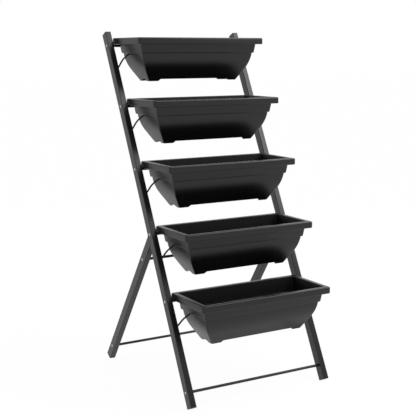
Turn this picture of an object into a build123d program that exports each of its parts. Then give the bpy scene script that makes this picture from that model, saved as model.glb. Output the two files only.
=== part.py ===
from build123d import *
import os
from math import cos, radians, sin, sqrt, tan

# Tiered plant stand: five planter boxes on a leaning front frame, with a rear frame that folds.
# Millimetres and degrees. X runs across, +Y to the back, +Z up. The origin is on the floor,
# in the middle of the footprint.

# Steel tube of the rails and legs
TUBE_WIDTH = 22.0
TUBE_DEPTH = 32.0
TUBE_WALL = 1.2
TUBE_CORNER = 2.0

# Front frame: distances along the rails start at the lower end of the tube
INNER_WIDTH = 533.0
RAIL_TILT = 26.8
FOOT_BAR_STATION = 51.0
FIRST_TIER_STATION = 368.5
TIER_PITCH = 245.0
TIER_COUNT = 5
RAIL_ABOVE_TIERS = 47.5

# Splice of the two rail lengths, above the second tier
SPLICE_RISE = 40.0
SPLICE_SEAM = 0.8
SLEEVE_LENGTH = 130.0
SLEEVE_BELOW_SEAM = 65.0
SLEEVE_WALL = 1.2
SLEEVE_CLEARANCE = 0.15

# Rear frame: its mitred tops meet the rails' back faces level with the second tier's screws
LEG_SPREAD = 61.5
MITRE_GAP = 0.2
REAR_TOP_BAR_DROP = 79.0
REAR_BOTTOM_BAR_RISE = 58.0

# End plugs, and the feet with a flat ground parallel to the floor
PLUG_LENGTH = 14.0
PLUG_CLEARANCE = 0.2
TOP_CAP_THICKNESS = 2.5
FOOT_THICKNESS = 3.5
FLOOR_FLAT = 5.0

# Round bars and the screws that hold their ends
BAR_DIAMETER = 10.0
SCREW_DIAMETER = 5.0
SCREW_HOLE = 5.6
SCREW_HEAD_DIAMETER = 9.5
SCREW_HEAD_HEIGHT = 3.0
SCREW_HEAD_ROUND = 1.4
SCREW_GRIP = 12.0
THREAD_CLEARANCE = 0.05
TAPPED_EXTRA = 2.0
RECESS_LENGTH = 5.0
RECESS_WIDTH = 1.1
RECESS_DEPTH = 1.3

# Hinges inside the top joints of the rear legs
HINGE_STANDOFF = 4.2
KNUCKLE_DIAMETER = 7.0
HINGE_PIN_DIAMETER = 3.5
PIN_HEAD_DIAMETER = 5.0
PIN_HEAD_THICKNESS = 0.8
PIN_CLEARANCE = 0.05
LEAF_THICKNESS = 1.5
LEAF_WIDTH = 18.0
LEAF_LENGTH = 34.0
LEAF_RELIEF = 0.8
KNUCKLE_GAP = 0.3
MIDDLE_KNUCKLE = 7.4
RIVET_DIAMETER = 3.2
RIVET_CLEARANCE = 0.05
RIVET_HEAD_DIAMETER = 6.0
RIVET_HEAD_HEIGHT = 1.2
RIVET_TAIL_DIAMETER = 4.6
RIVET_TAIL_HEIGHT = 2.0
RIVET_STATIONS = (14.0, 27.0)

# Planter boxes: heights are measured down from the top of the rim
END_GAP = 4.0
RIM_DEPTH = 223.5
RIM_BEHIND_BAR = 6.0
RIM_OVERHANG = 16.0
RIM_CORNER = 8.0
RIM_ROUND = 2.0
LIP_HEIGHT = 23.3
BAND_HEIGHT = 32.2
BAND_TAPER = 8.4
LEDGE_WIDTH = 5.2
BODY_CORNER = 6.0
BOX_HEIGHT = 157.0
BOX_WALL = 2.5
WALL_ARC_RADIUS = 150.0
END_TOP_SLOPE = 7.0
END_BASE_SLOPE = 32.0
LONG_TOP_SLOPE = 6.0
LONG_BASE_SLOPE = 30.0
BOX_FOOT_HEIGHT = 7.5
BOX_FOOT_LENGTH = 36.0
BOX_FOOT_DEPTH = 19.0
BOX_FOOT_WALL = 3.0
BOX_FOOT_SLOPE = 8.0
DRAIN_DIAMETER = 8.0
DRAIN_SPACING = 80.0
DRAIN_COUNT = 4
SEAT_GAP = 0.3

# Wire props under the ledges of the boxes
PROP_DIAMETER = 6.0
PROP_HOLE_CLEARANCE = 0.1
PROP_PEG = 8.0
PROP_STANDOFF = 5.2
PROP_BEND = 5.0
PROP_BOW = 50.0
PROP_FOOT_DROP = 90.0
PROP_ELBOW_LEAN = 6.0
PROP_ELBOW_REACH = 74.0
PROP_ELBOW_DROP = 44.5
PROP_TIP_REACH = 81.0
PROP_TIP_DROP = 2.8
PROP_TIP_GAP = 1.8

# Places worked out from the sizes above
LEG_TILT = LEG_SPREAD - RAIL_TILT
HALF_DEPTH = TUBE_DEPTH / 2
RAIL_X = INNER_WIDTH / 2 + TUBE_WIDTH / 2
OUTER_X = RAIL_X + TUBE_WIDTH / 2
TIER_STATIONS = [FIRST_TIER_STATION + TIER_PITCH * tier for tier in range(TIER_COUNT)]
RAIL_LENGTH = TIER_STATIONS[-1] + RAIL_ABOVE_TIERS
JOINT_STATION = TIER_STATIONS[1]
SPLICE_STATION = JOINT_STATION + SPLICE_RISE
MITRE_LENGTH = TUBE_DEPTH / sin(radians(LEG_SPREAD))
CREASE_STATION = JOINT_STATION - MITRE_LENGTH
PIN_STATION = CREASE_STATION - HINGE_STANDOFF / tan(radians(LEG_SPREAD / 2))


def floor_cut(tilt):
    """Height that a floor flat of the stated width takes off a square corner leaning by tilt."""
    return FLOOR_FLAT / (tan(radians(tilt)) + 1 / tan(radians(tilt)))


RAIL_Z = (FOOT_THICKNESS * cos(radians(RAIL_TILT)) + HALF_DEPTH * sin(radians(RAIL_TILT))
          - floor_cut(RAIL_TILT))


def rail_point(station, back):
    """(y, z) of a point on the rails before the origin is centred; back is towards the rear face."""
    y = station * sin(radians(RAIL_TILT)) + back * cos(radians(RAIL_TILT))
    z = RAIL_Z + station * cos(radians(RAIL_TILT)) - back * sin(radians(RAIL_TILT))
    return y, z


PIN_Y, PIN_Z = rail_point(PIN_STATION, HALF_DEPTH + HINGE_STANDOFF)
LEG_FOOT = (PIN_Z + HINGE_STANDOFF * sin(radians(LEG_TILT)) + floor_cut(LEG_TILT)) / cos(radians(LEG_TILT))
BOX_LENGTH = INNER_WIDTH - 2 * END_GAP
BOX_RISE = BAR_DIAMETER / 2 + SEAT_GAP + LIP_HEIGHT
FRONT_Y = rail_point(TIER_STATIONS[0], 0)[0] + RIM_BEHIND_BAR - RIM_DEPTH
REAR_Y = (PIN_Y + (HINGE_STANDOFF + TUBE_DEPTH) * cos(radians(LEG_TILT))
          + LEG_FOOT * sin(radians(LEG_TILT)))
CENTRE_Y = (FRONT_Y + REAR_Y) / 2

# Working planes: local Z runs up the tube and local Y points to its back face
RAIL = Plane(origin=(0, -CENTRE_Y, RAIL_Z), x_dir=(1, 0, 0),
             z_dir=(0, sin(radians(RAIL_TILT)), cos(radians(RAIL_TILT))))
LEG = Plane(origin=(0, PIN_Y - CENTRE_Y, PIN_Z), x_dir=(1, 0, 0),
            z_dir=(0, -sin(radians(LEG_TILT)), cos(radians(LEG_TILT))))
LEG_AXIS = HINGE_STANDOFF + HALF_DEPTH
LEG_TUBE_END = -LEG_FOOT + FOOT_THICKNESS
REAR_TOP_BAR = -REAR_TOP_BAR_DROP
REAR_BOTTOM_BAR = LEG_TUBE_END + REAR_BOTTOM_BAR_RISE


def export(node, shape):
    """Write one named piece, checking that it holds at least one solid."""
    assert shape.solids(), node
    export_step(shape, "parts/" + node + ".step")


def export_pair(node, left):
    """Write a left-hand piece and its mirror image."""
    export(node + "_left", left)
    export(node + "_right", mirror(left, about=Plane.YZ))


def cross_rod(diameter, x_low, x_high, back, station):
    """Round rod along X between two places, in a tube's own frame."""
    rod = Cylinder(diameter / 2, x_high - x_low, rotation=(0, 90, 0))
    return Pos((x_low + x_high) / 2, back, station) * rod


def tube_outline(inset, corner):
    return RectangleRounded(TUBE_WIDTH - 2 * inset, TUBE_DEPTH - 2 * inset, corner)


def tube(x, back, low, high):
    """Rectangular steel tube with its axis along local Z."""
    section = tube_outline(0, TUBE_CORNER) - tube_outline(TUBE_WALL, TUBE_CORNER - TUBE_WALL)
    return Pos(x, back, low) * extrude(section, high - low)


def plug(x, back, end, thickness, up):
    """Plastic end plug: a plate flush with the tube and a stub inside it; up is 1 or -1."""
    inset = TUBE_WALL + PLUG_CLEARANCE
    plate = extrude(tube_outline(0, TUBE_CORNER), thickness * up)
    stub = extrude(tube_outline(inset, TUBE_CORNER - TUBE_WALL), -PLUG_LENGTH * up)
    return Pos(x, back, end) * (plate + stub)


def above_floor(shape):
    """Grind the corner of a foot flat where it stands on the floor."""
    slab = 4 * TUBE_DEPTH
    block = Pos(shape.center().X, shape.center().Y, -slab / 2) * Box(slab, slab, slab)
    return shape - block


def hinge_rivet(x, back, station, inwards):
    """Blind rivet through a hinge leaf and a tube wall; inwards is 1 or -1 along local Y."""
    grip = LEAF_THICKNESS + TUBE_WALL
    head = Cylinder(RIVET_HEAD_DIAMETER / 2, RIVET_HEAD_HEIGHT, align=(Align.CENTER, Align.CENTER, Align.MAX))
    head = fillet(head.edges().group_by(Axis.Z)[0], RIVET_HEAD_HEIGHT * 0.7)
    shank = Cylinder(RIVET_DIAMETER / 2, grip, align=(Align.CENTER, Align.CENTER, Align.MIN))
    tail = Pos(0, 0, grip) * Cylinder(RIVET_TAIL_DIAMETER / 2, RIVET_TAIL_HEIGHT,
                                      align=(Align.CENTER, Align.CENTER, Align.MIN))
    rivet = Rot(-90 * inwards, 0, 0) * (head + shank + tail)
    return Pos(x, back - LEAF_THICKNESS * inwards, station) * rivet


def rivet_hole(x, back, station):
    """Cutter for a rivet through one wall and its hinge leaf."""
    reach = 4 * (TUBE_WALL + LEAF_THICKNESS)
    rod = Cylinder(RIVET_DIAMETER / 2 + RIVET_CLEARANCE, reach, rotation=(90, 0, 0))
    return Pos(x, back, station) * rod


def hinge_leaf(x, face, outwards, knuckles):
    """Leaf below the pin on a tube's face, with the stated (low, high) knuckles rolled round the pin.
    outwards is 1 or -1: the side of the face that the pin is on, along local Y."""
    start = KNUCKLE_DIAMETER / 2 + LEAF_RELIEF
    mid = face + outwards * LEAF_THICKNESS / 2
    leaf = Pos(x, mid, -(start + LEAF_LENGTH) / 2) * Box(LEAF_WIDTH, LEAF_THICKNESS, LEAF_LENGTH - start)
    for low, high in knuckles:
        leaf += cross_rod(KNUCKLE_DIAMETER, x + low, x + high, face + outwards * HINGE_STANDOFF, 0)
        leaf += Pos(x + (low + high) / 2, mid, -start / 2) * Box(high - low, LEAF_THICKNESS, start)
    bore = HINGE_PIN_DIAMETER + 2 * PIN_CLEARANCE
    leaf -= cross_rod(bore, x - LEAF_WIDTH, x + LEAF_WIDTH, face + outwards * HINGE_STANDOFF, 0)
    for station in RIVET_STATIONS:
        leaf -= rivet_hole(x, mid, -station)
    return leaf


def bar(half_length):
    """Round bar between the inner faces of two tubes, tapped at both ends."""
    rod = cross_rod(BAR_DIAMETER, -half_length, half_length, 0, 0)
    tapped = SCREW_GRIP + TAPPED_EXTRA
    for side in (-1, 1):
        end = side * half_length
        hole = sorted((end, end - side * tapped))
        rod -= cross_rod(SCREW_DIAMETER + 2 * THREAD_CLEARANCE, hole[0], hole[1], 0, 0)
    return rod


def screw():
    """Pan-head screw along +X, with the underside of its head at the origin."""
    head = Cylinder(SCREW_HEAD_DIAMETER / 2, SCREW_HEAD_HEIGHT, align=(Align.CENTER, Align.CENTER, Align.MAX))
    head = fillet(head.edges().group_by(Axis.Z)[0], SCREW_HEAD_ROUND)
    for turn in (0, 90):
        slot = Box(RECESS_LENGTH, RECESS_WIDTH, 2 * RECESS_DEPTH)
        head -= Pos(0, 0, -SCREW_HEAD_HEIGHT) * (Rot(0, 0, turn) * slot)
    shank = Cylinder(SCREW_DIAMETER / 2, TUBE_WIDTH + SCREW_GRIP,
                     align=(Align.CENTER, Align.CENTER, Align.MIN))
    return Rot(0, 90, 0) * (head + shank)


def screw_pair(plane, back, station):
    """Two screws through the outer faces of a pair of tubes, into one bar."""
    left = plane * (Pos(-OUTER_X, back, station) * screw())
    return [left, mirror(left, about=Plane.YZ)]


def box_plan(inset_x, inset_y, level, corner):
    """Rounded outline of a planter at one level, inset from the edge of its rim."""
    outline = RectangleRounded(BOX_LENGTH - 2 * inset_x, RIM_DEPTH - 2 * inset_y, corner)
    return Pos(0, 0, level) * outline


def wall_draw(drop, top_slope, base_slope):
    """How far a lower wall has drawn in at a drop below the ledge: an arc from one slope to the other,
    then straight."""
    top, base = radians(top_slope), radians(base_slope)
    arc_height = WALL_ARC_RADIUS * (sin(base) - sin(top))
    rise = sin(top) + min(drop, arc_height) / WALL_ARC_RADIUS
    arc = WALL_ARC_RADIUS * (cos(top) - sqrt(1 - rise ** 2))
    return arc + max(drop - arc_height, 0) * tan(base)


def end_draw(drop):
    return wall_draw(drop, END_TOP_SLOPE, END_BASE_SLOPE)


def long_draw(drop):
    return wall_draw(drop, LONG_TOP_SLOPE, LONG_BASE_SLOPE)


def box_lower(inset, top, bottom, corner):
    """Lower part of a planter: its arc and straight zones from one level to another."""
    ledge = -LIP_HEIGHT - BAND_HEIGHT
    arc_height = WALL_ARC_RADIUS * (sin(radians(END_BASE_SLOPE)) - sin(radians(END_TOP_SLOPE)))
    arc_bottom = ledge - arc_height
    steps = 5
    arc = [ledge + (arc_bottom - ledge) * step / steps for step in range(steps + 1)]

    def outline(level):
        drop = max(ledge - level, 0)
        return box_plan(inset + end_draw(drop), inset + long_draw(drop), level, corner)

    shape = loft([outline(level) for level in arc])
    if top > ledge:
        shape += loft([outline(top), outline(ledge)], ruled=True)
    return shape + loft([outline(arc_bottom), outline(bottom)], ruled=True)


def planter():
    """Moulded planter box with its rim's top face at Z = 0 and its middle on the Z axis."""
    ledge = -LIP_HEIGHT - BAND_HEIGHT
    floor_level = -BOX_HEIGHT + BOX_FOOT_HEIGHT
    band_bottom = RIM_OVERHANG + BAND_TAPER
    lower_top = band_bottom + LEDGE_WIDTH
    inner_corner = BODY_CORNER - BOX_WALL

    rim = extrude(box_plan(0, 0, 0, RIM_CORNER), -LIP_HEIGHT)
    rim = fillet(rim.faces().sort_by(Axis.Z)[-1].edges(), RIM_ROUND)
    rim -= extrude(box_plan(BOX_WALL, BOX_WALL, -BOX_WALL, RIM_CORNER - BOX_WALL), -LIP_HEIGHT)

    body = loft([box_plan(RIM_OVERHANG, RIM_OVERHANG, -BOX_WALL / 2, BODY_CORNER),
                 box_plan(band_bottom, band_bottom, ledge, BODY_CORNER)], ruled=True)
    body += box_lower(lower_top, ledge, -BOX_HEIGHT, BODY_CORNER)

    hollow_end = ledge + BOX_WALL
    hollow = loft([box_plan(RIM_OVERHANG + BOX_WALL, RIM_OVERHANG + BOX_WALL, 1, inner_corner),
                   box_plan(band_bottom + BOX_WALL, band_bottom + BOX_WALL, hollow_end, inner_corner)],
                  ruled=True)
    hollow += box_lower(lower_top + BOX_WALL, hollow_end, floor_level + BOX_WALL, inner_corner)
    foot_in = lower_top + BOX_FOOT_WALL
    under = [box_plan(foot_in + end_draw(ledge - level), foot_in + long_draw(ledge - level), level,
                      BODY_CORNER - BOX_FOOT_WALL)
             for level in (floor_level, -BOX_HEIGHT - 1)]
    shape = rim + body - hollow - loft(under, ruled=True)

    foot_half_x = BOX_LENGTH / 2 - lower_top - end_draw(BOX_HEIGHT + ledge)
    foot_half_y = RIM_DEPTH / 2 - lower_top - long_draw(BOX_HEIGHT + ledge)
    for gap, plane, reach in ((foot_half_x - BOX_FOOT_LENGTH, Plane.XZ, RIM_DEPTH),
                              (foot_half_y - BOX_FOOT_DEPTH, Plane.YZ, BOX_LENGTH)):
        slope = min(BOX_FOOT_SLOPE, gap / 2)
        arch = Polygon((-gap, -BOX_HEIGHT), (gap, -BOX_HEIGHT), (gap - slope, floor_level),
                       (slope - gap, floor_level), align=None)
        shape -= extrude(plane * arch, reach / 2, both=True)
    for hole in range(DRAIN_COUNT):
        x = (hole - (DRAIN_COUNT - 1) / 2) * DRAIN_SPACING
        shape -= Pos(x, 0, floor_level) * Cylinder(DRAIN_DIAMETER / 2, 4 * BOX_WALL)
    return shape


def tier_point(tier):
    """(y, z) of a tier bar's axis in the finished frame."""
    y, z = rail_point(TIER_STATIONS[tier], 0)
    return y - CENTRE_Y, z


def prop(tier):
    """Left-hand bent wire: a peg into the rail's inner wall, then a bowed rise forwards and inwards
    to a cut end under the ledge."""
    y, z = tier_point(tier)
    foot_y, foot_z = rail_point(TIER_STATIONS[tier] - PROP_FOOT_DROP, 0)
    foot_y -= CENTRE_Y
    wall = -INNER_WIDTH / 2
    run = wall + PROP_STANDOFF
    tip_x = BOX_LENGTH / 2 - RIM_OVERHANG - BAND_TAPER - LEDGE_WIDTH + PROP_TIP_GAP
    tip_z = z + BOX_RISE - LIP_HEIGHT - BAND_HEIGHT - PROP_TIP_DROP
    route = FilletPolyline((wall - PROP_PEG, foot_y, foot_z), (run, foot_y, foot_z),
                           (run + PROP_ELBOW_LEAN, y - PROP_ELBOW_REACH, z - PROP_ELBOW_DROP),
                           (-tip_x, y - PROP_TIP_REACH, tip_z), radius=(PROP_BEND, PROP_BOW))
    return sweep(Plane(origin=route @ 0, z_dir=route % 0) * Circle(PROP_DIAMETER / 2), path=route)


os.makedirs("parts", exist_ok=True)

# Rails: two lengths a side, drilled for the bars' screws, the props' pegs and the hinge rivets
bar_stations = [FOOT_BAR_STATION] + TIER_STATIONS
for name, low, high in (("lower_rail", 0, SPLICE_STATION),
                        ("upper_rail", SPLICE_STATION + SPLICE_SEAM, RAIL_LENGTH)):
    rail = tube(-RAIL_X, 0, low, high)
    for station in bar_stations:
        if low < station < high:
            rail -= cross_rod(SCREW_HOLE, -OUTER_X - TUBE_WALL, -INNER_WIDTH / 2 + TUBE_WALL, 0, station)
    for station in TIER_STATIONS:
        peg = station - PROP_FOOT_DROP
        if low < peg < high:
            hole = PROP_DIAMETER + 2 * PROP_HOLE_CLEARANCE
            rail -= cross_rod(hole, -RAIL_X, -INNER_WIDTH / 2 + TUBE_WALL, 0, peg)
    for drop in RIVET_STATIONS:
        if low < PIN_STATION - drop < high:
            rail -= rivet_hole(-RAIL_X, HALF_DEPTH, PIN_STATION - drop)
    export_pair(name, RAIL * rail)

# Splice sleeves inside the rails, held by the screws of the tier below the seam
sleeve_inset = TUBE_WALL + SLEEVE_CLEARANCE
sleeve_corner = TUBE_CORNER - TUBE_WALL
sleeve_bore = sleeve_inset + SLEEVE_WALL
sleeve_section = tube_outline(sleeve_inset, sleeve_corner)
sleeve_section -= Rectangle(TUBE_WIDTH - 2 * sleeve_bore, TUBE_DEPTH - 2 * sleeve_bore)
sleeve = Pos(-RAIL_X, 0, SPLICE_STATION - SLEEVE_BELOW_SEAM) * extrude(sleeve_section, SLEEVE_LENGTH)
sleeve -= cross_rod(SCREW_HOLE, -OUTER_X, -INNER_WIDTH / 2, 0, JOINT_STATION)
export_pair("splice_sleeve", RAIL * sleeve)

# End plugs of the rails
export_pair("rail_top_cap", RAIL * plug(-RAIL_X, 0, RAIL_LENGTH, TOP_CAP_THICKNESS, 1))
export_pair("rail_foot", above_floor(RAIL * plug(-RAIL_X, 0, 0, FOOT_THICKNESS, -1)))

# Tier bars and foot bar
for tier, station in enumerate(TIER_STATIONS):
    export("tier_bar_%d" % (tier + 1), RAIL * (Pos(0, 0, station) * bar(INNER_WIDTH / 2)))
export("foot_bar", RAIL * (Pos(0, 0, FOOT_BAR_STATION) * bar(INNER_WIDTH / 2)))
front_screws = []
for station in bar_stations:
    front_screws += screw_pair(RAIL, 0, station)
export("front_frame_screws", Compound(children=front_screws))

# Rear frame: mitred legs, their feet, two bars and the screws
leg = tube(-RAIL_X, LEG_AXIS, LEG_TUBE_END, MITRE_LENGTH)
for station in (REAR_TOP_BAR, REAR_BOTTOM_BAR):
    leg -= cross_rod(SCREW_HOLE, -OUTER_X - TUBE_WALL, -INNER_WIDTH / 2 + TUBE_WALL, LEG_AXIS, station)
for drop in RIVET_STATIONS:
    leg -= rivet_hole(-RAIL_X, HINGE_STANDOFF, -drop)
mitre_block = Box(2 * TUBE_WIDTH, 4 * TUBE_DEPTH, 4 * TUBE_DEPTH,
                  align=(Align.CENTER, Align.MAX, Align.CENTER))
mitre_block = RAIL * (Pos(-RAIL_X, HALF_DEPTH + MITRE_GAP, CREASE_STATION) * mitre_block)
export_pair("rear_leg", LEG * leg - mitre_block)
export_pair("rear_foot", above_floor(LEG * plug(-RAIL_X, LEG_AXIS, LEG_TUBE_END, FOOT_THICKNESS, -1)))
rear_screws = []
for node, station in (("rear_top_bar", REAR_TOP_BAR), ("rear_bottom_bar", REAR_BOTTOM_BAR)):
    export(node, LEG * (Pos(0, LEG_AXIS, station) * bar(INNER_WIDTH / 2)))
    rear_screws += screw_pair(LEG, LEG_AXIS, station)
export("rear_frame_screws", Compound(children=rear_screws))

# Hinges: the rail leaf carries the pin in its two outer knuckles, the leg leaf turns on it
half_leaf = LEAF_WIDTH / 2
half_middle = MIDDLE_KNUCKLE / 2
outer_knuckles = [(-half_leaf, -half_middle - KNUCKLE_GAP), (half_middle + KNUCKLE_GAP, half_leaf)]
rail_leaf = Pos(0, 0, PIN_STATION) * hinge_leaf(-RAIL_X, HALF_DEPTH, 1, outer_knuckles)
export_pair("rail_hinge_leaf", RAIL * rail_leaf)
export_pair("leg_hinge_leaf", LEG * hinge_leaf(-RAIL_X, HINGE_STANDOFF, -1, [(-half_middle, half_middle)]))
pin = cross_rod(HINGE_PIN_DIAMETER, -RAIL_X - half_leaf, -RAIL_X + half_leaf, 0, 0)
for side in (-1, 1):
    ends = sorted((-RAIL_X + side * half_leaf, -RAIL_X + side * (half_leaf + PIN_HEAD_THICKNESS)))
    pin += cross_rod(PIN_HEAD_DIAMETER, ends[0], ends[1], 0, 0)
export_pair("hinge_pin", LEG * pin)
rail_rivets = []
leg_rivets = []
for drop in RIVET_STATIONS:
    for x in (-RAIL_X, RAIL_X):
        rail_rivets.append(RAIL * hinge_rivet(x, HALF_DEPTH, PIN_STATION - drop, -1))
        leg_rivets.append(LEG * hinge_rivet(x, HINGE_STANDOFF, -drop, 1))
export("rail_hinge_rivets", Compound(children=rail_rivets))
export("leg_hinge_rivets", Compound(children=leg_rivets))

# Planter boxes and the wire props that carry them, from the lowest tier up
box = planter()
for tier in range(TIER_COUNT):
    y, z = tier_point(tier)
    export("planter_%d" % (tier + 1), Pos(0, y + RIM_BEHIND_BAR - RIM_DEPTH / 2, z + BOX_RISE) * box)
    wire = prop(tier)
    export("prop_left_%d" % (tier + 1), wire)
    export("prop_right_%d" % (tier + 1), mirror(wire, about=Plane.YZ))
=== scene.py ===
import math
import bmesh
import bpy
from mathutils import Matrix, Vector


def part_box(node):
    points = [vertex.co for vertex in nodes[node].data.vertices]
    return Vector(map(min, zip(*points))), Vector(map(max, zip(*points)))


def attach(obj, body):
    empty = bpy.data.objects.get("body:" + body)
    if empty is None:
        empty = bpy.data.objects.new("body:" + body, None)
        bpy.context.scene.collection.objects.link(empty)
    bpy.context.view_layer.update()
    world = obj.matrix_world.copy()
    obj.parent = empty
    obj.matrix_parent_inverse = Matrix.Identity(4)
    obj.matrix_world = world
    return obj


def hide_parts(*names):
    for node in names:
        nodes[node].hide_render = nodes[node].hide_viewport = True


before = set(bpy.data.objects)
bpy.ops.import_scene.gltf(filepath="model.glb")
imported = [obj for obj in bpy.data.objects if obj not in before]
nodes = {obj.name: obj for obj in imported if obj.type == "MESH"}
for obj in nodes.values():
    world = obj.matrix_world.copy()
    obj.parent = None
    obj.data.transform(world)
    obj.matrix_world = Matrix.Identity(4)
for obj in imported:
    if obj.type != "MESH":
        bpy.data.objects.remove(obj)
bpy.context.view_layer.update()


# Rails, legs, round bars and wire props: drawn steel, welded and drilled, then powder coated,
# the tubes and bars in satin charcoal and the wires in duller black. The oven-cured coat flows to a
# fine orange peel that softens every reflection and leaves the colour a little uneven along the length.
def srgb(code):
    """Hex colour as linear red, green, blue and alpha."""
    parts = [int(code[i:i + 2], 16) / 255 for i in (1, 3, 5)]
    return tuple(p / 12.92 if p <= 0.04045 else ((p + 0.055) / 1.055) ** 2.4 for p in parts) + (1.0,)


def add(tree, kind, inputs=None, **settings):
    """Add a node, apply its settings, and set or link its inputs, by name or by place."""
    node = tree.nodes.new(kind)
    for name, value in settings.items():
        setattr(node, name, value)
    for name, value in (inputs or {}).items():
        if isinstance(value, bpy.types.NodeSocket):
            tree.links.new(value, node.inputs[name])
        else:
            node.inputs[name].default_value = value
    return node


def start_material(name):
    """New material with an empty tree: the material, its tree and the object coordinates."""
    material = bpy.data.materials.new(name)
    material.use_nodes = True
    tree = material.node_tree
    tree.nodes.clear()
    place = add(tree, "ShaderNodeTexCoord").outputs["Object"]
    return material, tree, place


def powder_coat(name, dark, light, roughness, shine):
    """Polyester powder coat on steel: two close greys, orange peel and a soft gloss."""
    material, tree, place = start_material(name)
    # Cloudy film thickness, about 70 mm across.
    cloud = add(tree, "ShaderNodeTexNoise",
                {"Vector": place, "Scale": 1 / 0.070, "Detail": 3.0, "Roughness": 0.55})
    # Orange peel is about 1 mm across, and is drawn at 3 mm so that it shows.
    peel = add(tree, "ShaderNodeTexNoise",
               {"Vector": place, "Scale": 1 / 0.003, "Detail": 2.0, "Roughness": 0.5})
    # Mix has one set of sockets for each data type: 0 is its factor, 6 and 7 are its colours.
    tone = add(tree, "ShaderNodeMix", {0: cloud.outputs["Fac"], 6: srgb(dark), 7: srgb(light)},
               data_type="RGBA")
    gloss = add(tree, "ShaderNodeMapRange", {"Value": peel.outputs["Fac"], "From Min": 0.25, "From Max": 0.75,
                                             "To Min": roughness - 0.05, "To Max": roughness + 0.07})
    bump = add(tree, "ShaderNodeBump", {"Height": peel.outputs["Fac"], "Strength": 0.10, "Distance": 0.0004})
    shader = add(tree, "ShaderNodeBsdfPrincipled",
                 {"Base Color": tone.outputs[2], "Roughness": gloss.outputs["Result"],
                  "Specular IOR Level": shine, "Normal": bump.outputs["Normal"]})
    add(tree, "ShaderNodeOutputMaterial", {"Surface": shader.outputs["BSDF"]})
    return material


def dress(material, *names):
    """Give CAD nodes one material in place of their plain one."""
    for name in names:
        mesh = nodes[name].data
        mesh.materials.clear()
        mesh.materials.append(material)


sides = ("left", "right")
tiers = (1, 2, 3, 4, 5)


def both_sides(*pieces):
    """Names of the left and the right node of each piece."""
    return [piece + "_" + side for piece in pieces for side in sides]


charcoal_coat = powder_coat("powder_coated_steel", "#0f0f10", "#171718", 0.30, 0.41)
wire_coat = powder_coat("black_coated_wire", "#080808", "#0d0d0e", 0.50, 0.20)
tier_bars = ["tier_bar_%d" % tier for tier in tiers]
dress(charcoal_coat, *both_sides("lower_rail", "upper_rail", "rear_leg"))
dress(charcoal_coat, "foot_bar", "rear_top_bar", "rear_bottom_bar", *tier_bars)
dress(wire_coat, *["prop_%s_%d" % (side, tier) for side in sides for tier in tiers])


# Splice sleeves: short lengths of bare drawn tube inside the rails, seen only with the rails apart.
# The die leaves fine scratches along the tube.
rail_tilt = math.radians(26.8)
bare_steel, tree, place = start_material("bare_drawn_steel")
# Scratches are about 0.1 mm wide, and are drawn at 2 mm, some thirty times as long, so that they show.
along = add(tree, "ShaderNodeMapping",
            {"Vector": place, "Rotation": (rail_tilt, 0, 0), "Scale": (1, 1, 0.03)})
scratch = add(tree, "ShaderNodeTexNoise",
              {"Vector": along.outputs["Vector"], "Scale": 1 / 0.002, "Detail": 3.0})
tone = add(tree, "ShaderNodeMix", {0: scratch.outputs["Fac"], 6: srgb("#8b8c8e"), 7: srgb("#b9babb")},
           data_type="RGBA")
shader = add(tree, "ShaderNodeBsdfPrincipled",
             {"Base Color": tone.outputs[2], "Metallic": 1.0, "Roughness": 0.38})
add(tree, "ShaderNodeOutputMaterial", {"Surface": shader.outputs["BSDF"]})
dress(bare_steel, *both_sides("splice_sleeve"))


# End plugs and feet: black polyethylene, injection moulded and pushed into the tube ends.
# The mould's spark-eroded face leaves an even dull grain.
plug_plastic, tree, place = start_material("moulded_black_polyethylene")
# The grain is about 0.3 mm across, and is drawn at 1.5 mm so that it shows.
grain = add(tree, "ShaderNodeTexNoise", {"Vector": place, "Scale": 1 / 0.0015, "Detail": 2.0})
tone = add(tree, "ShaderNodeMix", {0: grain.outputs["Fac"], 6: srgb("#121212"), 7: srgb("#1b1b1b")},
           data_type="RGBA")
bump = add(tree, "ShaderNodeBump", {"Height": grain.outputs["Fac"], "Strength": 0.15, "Distance": 0.0003})
shader = add(tree, "ShaderNodeBsdfPrincipled",
             {"Base Color": tone.outputs[2], "Roughness": 0.6, "Normal": bump.outputs["Normal"]})
add(tree, "ShaderNodeOutputMaterial", {"Surface": shader.outputs["BSDF"]})
dress(plug_plastic, *both_sides("rail_top_cap", "rail_foot", "rear_foot"))


# Hinges in the top joints: pressed leaves and drawn pins, black oxide over bright steel, so a little
# metal shows through the thin film.
hinge_black, tree, place = start_material("black_oxide_steel")
# The film is thicker and thinner in patches about 4 mm across.
film = add(tree, "ShaderNodeTexNoise",
           {"Vector": place, "Scale": 1 / 0.004, "Detail": 4.0, "Roughness": 0.6})
tone = add(tree, "ShaderNodeMix", {0: film.outputs["Fac"], 6: srgb("#1d1d1e"), 7: srgb("#3a3a3c")},
           data_type="RGBA")
gloss = add(tree, "ShaderNodeMapRange", {"Value": film.outputs["Fac"], "To Min": 0.28, "To Max": 0.5})
shader = add(tree, "ShaderNodeBsdfPrincipled",
             {"Base Color": tone.outputs[2], "Metallic": 0.6, "Roughness": gloss.outputs["Result"]})
add(tree, "ShaderNodeOutputMaterial", {"Surface": shader.outputs["BSDF"]})
dress(hinge_black, *both_sides("rail_hinge_leaf", "leg_hinge_leaf", "hinge_pin"))


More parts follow.
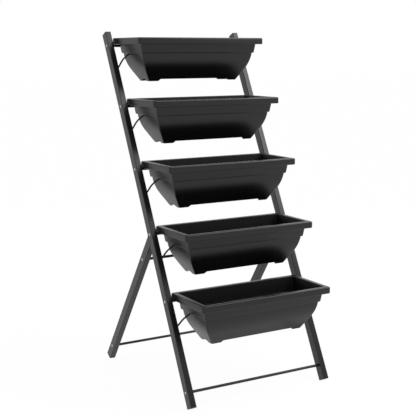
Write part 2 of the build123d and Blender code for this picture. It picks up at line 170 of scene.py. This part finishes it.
# Screws: M5 pan heads, one at each end of every bar, cold headed with a cross recess and bright
# zinc plated. The plate is shiny with a faint cool cast and dulls in patches.
def start_tree(name, sizes):
    """New node tree that takes seats, sizes in metres and a finish: the tree and its inputs."""
    tree = bpy.data.node_groups.new(name, "GeometryNodeTree")
    tree.interface.new_socket("Seats", in_out="INPUT", socket_type="NodeSocketGeometry")
    for size in sizes:
        tree.interface.new_socket(size, in_out="INPUT", socket_type="NodeSocketFloat")
    tree.interface.new_socket("Finish", in_out="INPUT", socket_type="NodeSocketMaterial")
    tree.interface.new_socket("Mesh", in_out="OUTPUT", socket_type="NodeSocketGeometry")
    return tree, add(tree, "NodeGroupInput").outputs


def set_on_seats(tree, given, piece, seed):
    """End a tree: the piece on every seat, along its axis and turned by its own amount, with its finish."""
    axis = add(tree, "GeometryNodeInputNamedAttribute", {"Name": "axis"}, data_type="FLOAT_VECTOR")
    aim = add(tree, "FunctionNodeAlignRotationToVector", {"Vector": axis.outputs["Attribute"]}, axis="Z")
    placed = add(tree, "GeometryNodeInstanceOnPoints",
                 {"Points": given["Seats"], "Instance": piece, "Rotation": aim.outputs["Rotation"]})
    amount = add(tree, "FunctionNodeRandomValue", {"Min": 0.0, "Max": 2 * math.pi, "Seed": seed},
                 data_type="FLOAT")
    roll = add(tree, "ShaderNodeCombineXYZ", {"Z": amount.outputs[1]})
    placed = add(tree, "GeometryNodeRotateInstances",
                 {"Instances": placed.outputs[0], "Rotation": roll.outputs[0], "Local Space": True})
    real = add(tree, "GeometryNodeRealizeInstances", {"Geometry": placed.outputs[0]})
    coated = add(tree, "GeometryNodeSetMaterial", {"Geometry": real.outputs[0], "Material": given["Finish"]})
    add(tree, "NodeGroupOutput", {"Mesh": coated.outputs[0]})


def turned_fastener():
    """Node tree: a domed head, shank and tail at each seat; a recess that has depth is cut as a cross."""
    tree, given = start_tree("turned_fastener", ("Head Radius", "Head Height", "Shank Radius", "Shank Length",
                                                 "Tail Radius", "Tail Length", "Recess Length",
                                                 "Recess Width", "Recess Depth"))
    # The head's section is a quarter of a squared-off ellipse, turned round the screw's axis.
    squareness = 0.6
    line = add(tree, "GeometryNodeCurvePrimitiveLine", {"End": (0, 0, 1)})
    spine = add(tree, "GeometryNodeResampleCurve", {"Curve": line.outputs["Curve"], "Count": 16})
    along = add(tree, "GeometryNodeSplineParameter").outputs["Factor"]
    angle = add(tree, "ShaderNodeMath", {0: along, 1: math.pi / 2}, operation="MULTIPLY").outputs[0]
    rise = add(tree, "ShaderNodeMath", {0: angle}, operation="SINE").outputs[0]
    rise = add(tree, "ShaderNodeMath", {0: rise, 1: squareness}, operation="POWER").outputs[0]
    rise = add(tree, "ShaderNodeMath", {0: rise, 1: given["Head Height"]}, operation="MULTIPLY").outputs[0]
    width = add(tree, "ShaderNodeMath", {0: angle}, operation="COSINE").outputs[0]
    width = add(tree, "ShaderNodeMath", {0: width, 1: 0.0}, operation="MAXIMUM").outputs[0]
    width = add(tree, "ShaderNodeMath", {0: width, 1: squareness}, operation="POWER").outputs[0]
    width = add(tree, "ShaderNodeMath", {0: width, 1: given["Head Radius"]}, operation="MULTIPLY").outputs[0]
    place = add(tree, "ShaderNodeCombineXYZ", {"Z": rise})
    spine = add(tree, "GeometryNodeSetPosition", {"Geometry": spine.outputs[0], "Position": place.outputs[0]})
    circle = add(tree, "GeometryNodeCurvePrimitiveCircle", {"Resolution": 28, "Radius": 1.0})
    head = add(tree, "GeometryNodeCurveToMesh",
               {"Curve": spine.outputs[0], "Profile Curve": circle.outputs["Curve"], "Scale": width,
                "Fill Caps": True})
    head = add(tree, "GeometryNodeMergeByDistance", {"Geometry": head.outputs[0], "Distance": 0.00002})

    # The recess is two crossed slots sunk into the top of the head.
    twice = add(tree, "ShaderNodeMath", {0: given["Recess Depth"], 1: 2.0}, operation="MULTIPLY").outputs[0]
    size = add(tree, "ShaderNodeCombineXYZ",
               {"X": given["Recess Length"], "Y": given["Recess Width"], "Z": twice})
    slot = add(tree, "GeometryNodeMeshCube", {"Size": size.outputs[0]}).outputs["Mesh"]
    top = add(tree, "ShaderNodeCombineXYZ", {"Z": given["Head Height"]}).outputs[0]
    cut = add(tree, "GeometryNodeMeshBoolean", {"Mesh 1": head.outputs[0]}, operation="DIFFERENCE")
    for turn in (0.0, math.pi / 2):
        arm = add(tree, "GeometryNodeTransform",
                  {"Geometry": slot, "Translation": top, "Rotation": (0, 0, turn)})
        tree.links.new(arm.outputs[0], cut.inputs["Mesh 2"])
    driven = add(tree, "FunctionNodeCompare", {"A": given["Recess Depth"], "B": 0.0},
                 operation="GREATER_THAN")
    head = add(tree, "GeometryNodeSwitch",
               {"Switch": driven.outputs["Result"], "False": head.outputs[0], "True": cut.outputs["Mesh"]},
               input_type="GEOMETRY")

    whole = add(tree, "GeometryNodeJoinGeometry")
    tree.links.new(head.outputs[0], whole.inputs["Geometry"])
    for stage in ("Shank", "Tail"):
        radius, length = given[stage + " Radius"], given[stage + " Length"]
        rod = add(tree, "GeometryNodeMeshCylinder", {"Vertices": 20, "Radius": radius, "Depth": length})
        sunk = add(tree, "ShaderNodeMath", {0: length, 1: -0.5}, operation="MULTIPLY").outputs[0]
        if stage == "Tail":
            sunk = add(tree, "ShaderNodeMath", {0: sunk, 1: given["Shank Length"]},
                       operation="SUBTRACT").outputs[0]
        shift = add(tree, "ShaderNodeCombineXYZ", {"Z": sunk})
        rod = add(tree, "GeometryNodeTransform",
                  {"Geometry": rod.outputs["Mesh"], "Translation": shift.outputs[0]})
        tree.links.new(rod.outputs[0], whole.inputs["Geometry"])
    # Each one stops at its own angle when it is driven home.
    set_on_seats(tree, given, whole.outputs[0], seed=7)
    return tree


def grow(name, tree, seats, values):
    """Mesh that a node tree makes on a list of (place, axis) seats, as a plain object at the origin."""
    mesh = bpy.data.meshes.new(name)
    mesh.from_pydata([place for place, axis in seats], [], [])
    store = mesh.attributes.new("axis", "FLOAT_VECTOR", "POINT")
    for item, (place, axis) in zip(store.data, seats):
        item.vector = axis
    thing = bpy.data.objects.new(name, mesh)
    bpy.context.scene.collection.objects.link(thing)
    maker = thing.modifiers.new("maker", "NODES")
    maker.node_group = tree
    for socket in tree.interface.items_tree:
        if socket.name in values:
            maker[socket.identifier] = values[socket.name]
    bpy.context.view_layer.update()
    grown = bpy.data.meshes.new_from_object(thing.evaluated_get(bpy.context.evaluated_depsgraph_get()))
    thing.modifiers.remove(maker)
    thing.data = grown
    shell = bmesh.new()
    shell.from_mesh(grown)
    bmesh.ops.recalc_face_normals(shell, faces=shell.faces)
    shell.to_mesh(grown)
    shell.free()
    grown.shade_smooth()
    grown.set_sharp_from_angle(angle=math.radians(45))
    return thing


zinc, tree, place = start_material("bright_zinc_plate")
# Dull patches are about 3 mm across.
patch = add(tree, "ShaderNodeTexNoise", {"Vector": place, "Scale": 1 / 0.003, "Detail": 3.0})
tone = add(tree, "ShaderNodeMix", {0: patch.outputs["Fac"], 6: srgb("#9fa3a8"), 7: srgb("#c9cccf")},
           data_type="RGBA")
gloss = add(tree, "ShaderNodeMapRange", {"Value": patch.outputs["Fac"], "To Min": 0.18, "To Max": 0.36})
shader = add(tree, "ShaderNodeBsdfPrincipled",
             {"Base Color": tone.outputs[2], "Metallic": 1.0, "Roughness": gloss.outputs["Result"]})
add(tree, "ShaderNodeOutputMaterial", {"Surface": shader.outputs["BSDF"]})
fastener = turned_fastener()
pan_head = {"Head Radius": 0.00475, "Head Height": 0.003, "Shank Radius": 0.0025, "Shank Length": 0.033,
            "Tail Radius": 0.0021, "Tail Length": 0.001,
            "Recess Length": 0.005, "Recess Width": 0.0011, "Recess Depth": 0.0013, "Finish": zinc}
outer_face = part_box("lower_rail_right")[1].x
for body, group, bars in (("front_frame", "front_frame_screws", ["foot_bar"] + tier_bars),
                          ("rear_frame", "rear_frame_screws", ["rear_top_bar", "rear_bottom_bar"])):
    seats = []
    for bar in bars:
        low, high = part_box(bar)
        for out in (-1, 1):
            seats.append(((out * outer_face, (low.y + high.y) / 2, (low.z + high.z) / 2), (out, 0, 0)))
    screws = grow("zinc_" + group, fastener, seats, pan_head)
    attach(screws, body)
    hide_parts(group)


# Rivets: steel blind rivets, two through each hinge leaf into the tube behind it, blackened with the
# hinges. Their domed heads stand on the leaf and their tails are swollen inside the tube.
button_head = {"Head Radius": 0.003, "Head Height": 0.0012, "Shank Radius": 0.0016, "Shank Length": 0.0027,
               "Tail Radius": 0.0023, "Tail Length": 0.002, "Recess Depth": 0.0, "Finish": hinge_black}
leg_tilt = math.radians(-34.7)
pin_to_leaf = 0.0027
rivet_drops = (0.014, 0.027)
for body, group, lean, outwards in (("front_frame", "rail_hinge_rivets", rail_tilt, 1),
                                    ("rear_frame", "leg_hinge_rivets", leg_tilt, -1)):
    up = Vector((0, math.sin(lean), math.cos(lean)))
    off_leaf = Vector((0, math.cos(lean), -math.sin(lean))) * outwards
    seats = []
    for side in sides:
        low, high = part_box("hinge_pin_" + side)
        for drop in rivet_drops:
            seats.append(((low + high) / 2 - up * drop - off_leaf * pin_to_leaf, off_leaf))
    rivets = grow("black_" + group, fastener, seats, button_head)
    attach(rivets, body)
    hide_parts(group)


# Weld beads: each wire prop is welded round its foot where it enters the rail's inner wall, before
# coating. A hand-run fillet weld freezes in overlapping ripples.
def weld_ring():
    """Node tree: a rippled ring round each seat's axis."""
    tree, given = start_tree("weld_ring", ("Wire Radius", "Bead Radius"))
    ripples = 11
    ring = add(tree, "GeometryNodeCurvePrimitiveCircle", {"Resolution": 64, "Radius": given["Wire Radius"]})
    along = add(tree, "GeometryNodeSplineParameter").outputs["Factor"]
    wave = add(tree, "ShaderNodeMath", {0: along, 1: 2 * math.pi * ripples}, operation="MULTIPLY").outputs[0]
    wave = add(tree, "ShaderNodeMath", {0: wave}, operation="SINE").outputs[0]
    swell = add(tree, "ShaderNodeMapRange",
                {"Value": wave, "From Min": -1.0, "From Max": 1.0, "To Min": 0.82, "To Max": 1.0})
    swell = add(tree, "ShaderNodeMath", {0: swell.outputs["Result"], 1: given["Bead Radius"]},
                operation="MULTIPLY")
    bead = add(tree, "GeometryNodeCurvePrimitiveCircle", {"Resolution": 10, "Radius": 1.0})
    weld = add(tree, "GeometryNodeCurveToMesh",
               {"Curve": ring.outputs["Curve"], "Profile Curve": bead.outputs["Curve"],
                "Scale": swell.outputs[0]})
    set_on_seats(tree, given, weld.outputs[0], seed=3)
    return tree


wire_radius = 0.003
seats = []
for side, out in (("left", 1), ("right", -1)):
    inner_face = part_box("lower_rail_" + side)[1 if out > 0 else 0].x
    for tier in tiers:
        low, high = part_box("prop_%s_%d" % (side, tier))
        seats.append(((inner_face, high.y - wire_radius, low.z + wire_radius), (out, 0, 0)))
welds = grow("prop_welds", weld_ring(), seats,
             {"Wire Radius": wire_radius, "Bead Radius": 0.0014, "Finish": charcoal_coat})
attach(welds, "front_frame")


# Planter boxes: polypropylene, injection moulded in one piece with a turned-down rim, a plain band,
# a ledge, sides that curve in to the base, and four corner feet. The skin has a fine spark grain. The inside
# is rougher, where the mould's core is blasted so that the box lets go of it, and reflects far less, which is
# painted shade.
box_length, box_depth, box_height = 0.525, 0.2235, 0.157
rim_overhang, rim_corner, lip_height = 0.016, 0.008, 0.0233
band_height, band_taper, ledge_width = 0.0322, 0.0084, 0.0052
wall, body_corner = 0.0025, 0.006
arc_radius = 0.150
end_slopes = (math.radians(7.0), math.radians(32.0))
long_slopes = (math.radians(6.0), math.radians(30.0))
foot_height, foot_length, foot_depth, foot_slope, foot_wall = 0.0075, 0.036, 0.019, 0.008, 0.003
drain_radius, drain_spacing = 0.004, 0.080
# Straight steps in a rounding of the section, in a corner of a ring and in the curve of a wall.
fillet_steps, corner_steps, curve_steps = 4, 8, 9
# Levels below the rim's top, and how far the body lies in from the rim just under the ledge.
ledge = -lip_height - band_height
underside = -box_height + foot_height
body_in = rim_overhang + band_taper + ledge_width


def drawn_in(drop, slopes):
    """How far a wall has drawn in at a drop below the ledge: an arc between two slopes, then straight."""
    top, base = slopes
    arc_height = arc_radius * (math.sin(base) - math.sin(top))
    rise = math.sin(top) + min(max(drop, 0), arc_height) / arc_radius
    arc_in = arc_radius * (math.cos(top) - math.sqrt(1 - rise ** 2))
    return arc_in + max(drop - arc_height, 0) * math.tan(base)


def rounded(points):
    """Round the corners of a section: each point is (inset, level, corner radius of the ring, fillet)."""
    out = []
    for i, (inset, level, corner, fillet) in enumerate(points):
        if fillet == 0 or i in (0, len(points) - 1):
            out.append((inset, level, corner))
            continue
        here = Vector((inset, level))
        back = (Vector(points[i - 1][:2]) - here).normalized()
        on = (Vector(points[i + 1][:2]) - here).normalized()
        half = back.angle(on) / 2
        reach = fillet / math.tan(half)
        middle = here + (back + on).normalized() * (fillet / math.sin(half))
        first = here + back * reach - middle
        last = here + on * reach - middle
        for step in range(fillet_steps + 1):
            arm = first.slerp(last, step / fillet_steps).normalized() * fillet
            out.append((middle.x + arm.x, middle.y + arm.y, corner))
    return out


def box_section(slopes):
    """Section of a wall from the inside floor, up, over the rim, down the outside to the feet."""
    floor = underside + wall
    inner = body_corner - wall
    floor_in = body_in + wall + drawn_in(ledge - floor, slopes)
    floor_strip, under_strip = 0.012, 0.01
    section = [(floor_in + floor_strip, floor, inner, 0), (floor_in, floor, inner, 0.004)]
    # Both walls have points at the same levels, from the foot of the end wall's arc to just under the ledge.
    arc_end = ledge - arc_radius * (math.sin(end_slopes[1]) - math.sin(end_slopes[0]))
    near_ledge = ledge - 0.003
    curve = [arc_end + (near_ledge - arc_end) * step / curve_steps for step in range(curve_steps + 1)]
    section += [(body_in + wall + drawn_in(ledge - level, slopes), level, inner, 0) for level in curve]
    # The band has already drawn in a little where the rim leaves it.
    band_top = rim_overhang + 0.0004
    section += [(body_in + wall, ledge + wall, inner, 0.001),
                (rim_overhang + band_taper + wall, ledge + wall, inner, 0.001),
                (rim_overhang + wall, 0, inner, 0.002),
                (0, 0, rim_corner, 0.0045),
                (0, -lip_height, rim_corner, 0.0019),
                (wall, -lip_height, rim_corner - wall, 0.0004),
                (wall, -wall, rim_corner - wall, 0.001),
                (band_top, -wall, body_corner, 0.001),
                (rim_overhang + band_taper, ledge, body_corner, 0.0025),
                (body_in, ledge, body_corner, 0.0007)]
    section += [(body_in + drawn_in(ledge - level, slopes), level, body_corner, 0)
                for level in reversed(curve)]
    base_in = body_in + drawn_in(ledge + box_height, slopes)
    under_in = body_in + foot_wall + drawn_in(ledge - underside, slopes)
    section += [(base_in, -box_height, body_corner, 0.0014),
                (base_in + foot_wall, -box_height, body_corner - foot_wall, 0.0008),
                (under_in, underside, body_corner - foot_wall, 0.001),
                (under_in + under_strip, underside, body_corner - foot_wall, 0)]
    return rounded(section)


def box_ring(end, long):
    """Rounded rectangle anticlockwise from above, from one point of each of the two walls' sections."""
    corner = end[2]
    half_x, half_y = box_length / 2 - end[0], box_depth / 2 - long[0]
    level = (end[1] + long[1]) / 2
    ring = []
    for quarter, (sx, sy) in enumerate(((1, 1), (-1, 1), (-1, -1), (1, -1))):
        for step in range(corner_steps + 1):
            turn = math.radians(90 * quarter + 90 * step / corner_steps)
            ring.append((sx * (half_x - corner) + corner * math.cos(turn),
                         sy * (half_y - corner) + corner * math.sin(turn), level))
    return ring


def prism(name, outline, reach, across):
    """Cutter: an outline of (side, level) points run along Y, or along X where across is true."""
    points = [(side, end, level) for end in (-reach, reach) for side, level in outline]
    count = len(outline)
    faces = [tuple(range(count)), tuple(reversed(range(count, 2 * count)))]
    faces += [(i, i + count, (i + 1) % count + count, (i + 1) % count) for i in range(count)]
    if across:
        # Swapping X and Y mirrors the shape, so its faces are turned to point outwards again.
        points = [(y, x, z) for x, y, z in points]
        faces = [tuple(reversed(face)) for face in faces]
    mesh = bpy.data.meshes.new(name)
    mesh.from_pydata(points, [], faces)
    return bpy.data.objects.new(name, mesh)


def drill(name, x, radius, low, high):
    """Cutter: an upright cylinder in the middle of the box's depth."""
    count = 24
    circle = [(radius * math.cos(2 * math.pi * i / count), radius * math.sin(2 * math.pi * i / count))
              for i in range(count)]
    points = [(x + side, end, level) for level in (low, high) for side, end in circle]
    faces = [tuple(reversed(range(count))), tuple(range(count, 2 * count))]
    faces += [(i, (i + 1) % count, (i + 1) % count + count, i + count) for i in range(count)]
    mesh = bpy.data.meshes.new(name)
    mesh.from_pydata(points, [], faces)
    return bpy.data.objects.new(name, mesh)


def moulded_box():
    """Mesh of one planter: the section swept round, then the arches between the feet and the drains cut."""
    rings = [box_ring(end, long) for end, long in zip(box_section(end_slopes), box_section(long_slopes))]
    count = len(rings[0])
    faces = []
    for first in range(0, (len(rings) - 1) * count, count):
        for i in range(count):
            after = (i + 1) % count
            faces.append((first + i, first + after, first + count + after, first + count + i))
    faces.append(tuple(reversed(range(count))))
    faces.append(tuple(range((len(rings) - 1) * count, len(rings) * count)))
    mesh = bpy.data.meshes.new("moulded_box")
    mesh.from_pydata([point for ring in rings for point in ring], [], faces)
    mesh.materials.append(outer_skin)
    mesh.materials.append(inner_skin_painted_shade)
    # The inside is every strip up to the rounding of the rim's inner edge, and the floor; it takes the skin
    # with painted shade.
    rim_edge = -0.004
    inner_strips = next(r for r, ring in enumerate(rings) if ring[0][2] > rim_edge) * count
    for face in mesh.polygons:
        face.material_index = 1 if face.index < inner_strips or face.index == len(faces) - 2 else 0
    mesh.validate()
    body = bpy.data.objects.new("moulded_box", mesh)

    # The arches stop just short of the underside, so that no cut runs along a face.
    arch_top = underside - 0.0002
    arch_foot = -box_height - foot_height
    past_box, past_floor = 0.5, 0.01
    cutters = []
    for across, side, slopes, foot in ((False, box_length, end_slopes, foot_length),
                                       (True, box_depth, long_slopes, foot_depth)):
        gap = side / 2 - body_in - drawn_in(ledge + box_height, slopes) - foot
        lean = min(foot_slope, gap / 2)
        arch = [(-gap - lean, arch_foot), (gap + lean, arch_foot),
                (gap - lean, arch_top), (lean - gap, arch_top)]
        cutters.append(prism("foot_arch", arch, past_box, across))
    for hole in (-1.5, -0.5, 0.5, 1.5):
        cutters.append(drill("drain", hole * drain_spacing, drain_radius,
                             underside - past_floor, underside + past_floor))
    for thing in [body] + cutters:
        bpy.context.scene.collection.objects.link(thing)
    for cutter in cutters:
        cut = body.modifiers.new("cut", "BOOLEAN")
        cut.operation, cut.solver, cut.object = "DIFFERENCE", "EXACT", cutter
    bpy.context.view_layer.update()
    finished = bpy.data.meshes.new_from_object(body.evaluated_get(bpy.context.evaluated_depsgraph_get()))
    for thing in [body] + cutters:
        bpy.data.objects.remove(thing)
    finished.shade_smooth()
    finished.set_sharp_from_angle(angle=math.radians(40))
    return finished


def moulded_plastic(name, smoothest, roughest, shine):
    """Black polypropylene with spark grain, between two roughnesses."""
    material, tree, place = start_material(name)
    # Spark grain is about 0.5 mm across, and is drawn at 2 mm so that it shows.
    grain = add(tree, "ShaderNodeTexNoise",
                {"Vector": place, "Scale": 1 / 0.002, "Detail": 3.0, "Roughness": 0.6})
    # Slow drift of the masterbatch, about 90 mm across and drawn out along the box by the flow.
    stretch = add(tree, "ShaderNodeMapping", {"Vector": place, "Scale": (0.3, 1, 1)})
    drift = add(tree, "ShaderNodeTexNoise",
                {"Vector": stretch.outputs["Vector"], "Scale": 1 / 0.09, "Detail": 2.0})
    tone = add(tree, "ShaderNodeMix", {0: drift.outputs["Fac"], 6: srgb("#080808"), 7: srgb("#0e0e0f")},
               data_type="RGBA")
    gloss = add(tree, "ShaderNodeMapRange",
                {"Value": grain.outputs["Fac"], "From Min": 0.25, "From Max": 0.75,
                 "To Min": smoothest, "To Max": roughest})
    bump = add(tree, "ShaderNodeBump", {"Height": grain.outputs["Fac"], "Strength": 0.10, "Distance": 0.0003})
    shader = add(tree, "ShaderNodeBsdfPrincipled",
                 {"Base Color": tone.outputs[2], "Roughness": gloss.outputs["Result"],
                  "Specular IOR Level": shine, "Normal": bump.outputs["Normal"]})
    add(tree, "ShaderNodeOutputMaterial", {"Surface": shader.outputs["BSDF"]})
    return material


outer_skin = moulded_plastic("moulded_polypropylene", 0.27, 0.38, 0.40)
# Same colours as the outer skin; its much lower specular level is painted shade that darkens the box's
# inside.
inner_skin_painted_shade = moulded_plastic("dull_moulded_polypropylene_painted_shade", 0.40, 0.52, 0.15)
one_box = moulded_box()
for tier in tiers:
    low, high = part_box("planter_%d" % tier)
    mesh = one_box.copy()
    mesh.transform(Matrix.Translation(((low.x + high.x) / 2, (low.y + high.y) / 2, high.z)))
    moulded = bpy.data.objects.new("moulded_planter_%d" % tier, mesh)
    bpy.context.scene.collection.objects.link(moulded)
    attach(moulded, "planter_body_%d" % tier)
    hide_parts("planter_%d" % tier)


# Floor, light and camera: a plain white sweep in a white studio whose ceiling is dim on the camera's side,
# seen from the front left and a little above with a long lens.
studio = bpy.data.worlds.new("white_studio")
bpy.context.scene.world = studio
studio.use_nodes = True
tree = studio.node_tree
tree.nodes.clear()
around = add(tree, "ShaderNodeTexCoord").outputs["Generated"]
# The ceiling falls to about a fifth of white towards the camera's side. The walls stay white to about
# 7 degrees above the floor and join the ceiling at about 17.
way = add(tree, "ShaderNodeVectorMath", {0: around, 1: (0, 1, 0.8)}, operation="DOT_PRODUCT")
ceiling = add(tree, "ShaderNodeMapRange",
              {"Value": way.outputs["Value"], "From Min": -0.62, "From Max": -0.15,
               "To Min": 0.18, "To Max": 1.0}, interpolation_type="SMOOTHSTEP")
height = add(tree, "ShaderNodeSeparateXYZ", {0: around}).outputs["Z"]
walls = add(tree, "ShaderNodeMapRange",
            {"Value": height, "From Min": 0.12, "From Max": 0.30,
             "To Min": 1.0, "To Max": 0.0}, interpolation_type="SMOOTHSTEP")
level = add(tree, "ShaderNodeMath", {0: ceiling.outputs["Result"], 1: walls.outputs["Result"]},
            operation="MAXIMUM")
white = add(tree, "ShaderNodeBackground", {"Color": (1, 1, 1, 1), "Strength": level.outputs[0]})
add(tree, "ShaderNodeOutputWorld", {"Surface": white.outputs["Background"]})

sweep = bpy.data.meshes.new("floor")
reach = 40.0
sweep.from_pydata([(-reach, -reach, 0), (reach, -reach, 0), (reach, reach, 0), (-reach, reach, 0)],
                  [], [(0, 1, 2, 3)])
floor = bpy.data.objects.new("floor", sweep)
bpy.context.scene.collection.objects.link(floor)
floor_white, tree, place = start_material("white_sweep")
matte = add(tree, "ShaderNodeBsdfDiffuse", {"Color": (0.93, 0.93, 0.93, 1)})
path = add(tree, "ShaderNodeLightPath")
seen = add(tree, "ShaderNodeMath", {0: path.outputs["Is Camera Ray"], 1: path.outputs["Is Glossy Ray"]},
           operation="MAXIMUM")
seen = add(tree, "ShaderNodeMath", {0: seen.outputs[0], 1: path.outputs["Is Transmission Ray"]},
           operation="MAXIMUM")
# The rest of what is seen is the matte floor itself, which keeps a faint shadow.
share = add(tree, "ShaderNodeMath", {0: seen.outputs[0], 1: 0.95}, operation="MULTIPLY")
glow = add(tree, "ShaderNodeEmission", {"Color": (1, 1, 1, 1), "Strength": 1.0})
both = add(tree, "ShaderNodeMixShader", {0: share.outputs[0], 1: matte.outputs[0], 2: glow.outputs[0]})
add(tree, "ShaderNodeOutputMaterial", {"Surface": both.outputs[0]})
sweep.materials.append(floor_white)

softbox = bpy.data.lights.new("softbox", "AREA")
softbox.shape, softbox.size, softbox.size_y = "RECTANGLE", 1.4, 1.6
softbox.energy = 27.0
key = bpy.data.objects.new("softbox", softbox)
bpy.context.scene.collection.objects.link(key)
# It hangs at the front right above the stand, faces the stand's middle and is slid 0.1 m down its own plane.
stand_middle = Vector((0, 0, 0.65))
aim = Vector((0.53, -0.37, 0.77))
distance = 2.2
hang = Matrix.Translation(stand_middle + aim * distance) @ aim.to_track_quat("Z", "Y").to_matrix().to_4x4()
key.matrix_world = hang @ Matrix.Translation((0, -0.1, 0))

lens = bpy.data.cameras.new("camera")
lens.sensor_width = 36.0
picture_width, focal_length = 416, 933.49
lens.lens = lens.sensor_width * focal_length / picture_width
lens.shift_x = -0.0002
lens.shift_y = -0.0047
lens.clip_end = 200.0
camera = bpy.data.objects.new("camera", lens)
bpy.context.scene.collection.objects.link(camera)
heading, pitch, roll = math.radians(-30.494), math.radians(90 - 9.389), math.radians(-0.1375)
turn = Matrix.Rotation(heading, 4, "Z") @ Matrix.Rotation(pitch, 4, "X") @ Matrix.Rotation(roll, 4, "Z")
camera.matrix_world = Matrix.Translation((-1.74523, -2.90765, 1.18951)) @ turn
bpy.context.scene.camera = camera
bpy.context.scene.view_settings.view_transform = "Standard"
